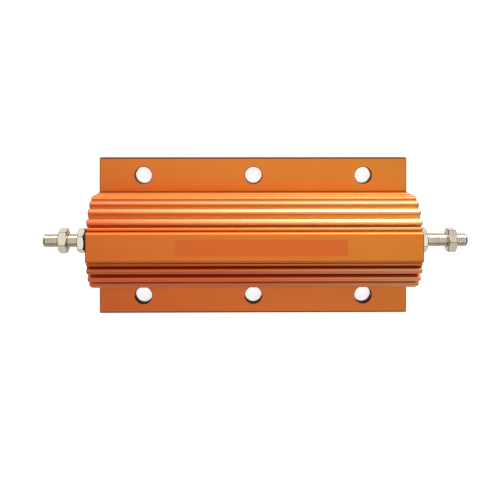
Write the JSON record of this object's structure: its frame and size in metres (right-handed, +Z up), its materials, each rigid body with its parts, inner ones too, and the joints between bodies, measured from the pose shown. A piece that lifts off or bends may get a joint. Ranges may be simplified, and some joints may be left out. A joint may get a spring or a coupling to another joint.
{
  "type": "aluminium housed power resistor",
  "caption": "Wire-wound power resistor in a finned aluminium extrusion with a drilled base plate and a threaded terminal with nuts at each end.",
  "frame": {"origin": "centre of the mounting face of the housing, midway between its two cut ends", "axes": "+X along the bore towards the right terminal, +Y across the base plate, +Z up from the mounting face towards the flat head"},
  "size_m": [0.1907, 0.073, 0.0418],
  "materials": {
    "anodised_aluminium": "orange-gold anodised extrusion, satin",
    "core_ceramic": "unglazed steatite",
    "resistance_wire": "oxidised nickel-chrome wire",
    "cap_steel": "plated pressed steel",
    "potting_cement": "matt cast cement",
    "silicone_plug": "matt light grey silicone",
    "stud_steel": "nickel plated",
    "nut_steel": "nickel plated"
  },
  "bodies": {
    "root": {"housing": "anodised_aluminium", "core": "core_ceramic", "winding": "resistance_wire", "left_cap": "cap_steel", "right_cap": "cap_steel", "filling": "potting_cement", "left_plug": "silicone_plug", "right_plug": "silicone_plug", "left_stud": "stud_steel", "right_stud": "stud_steel", "left_inner_nut": "nut_steel", "right_inner_nut": "nut_steel", "left_outer_nut": "nut_steel", "right_outer_nut": "nut_steel"}
  },
  "joints": []
}
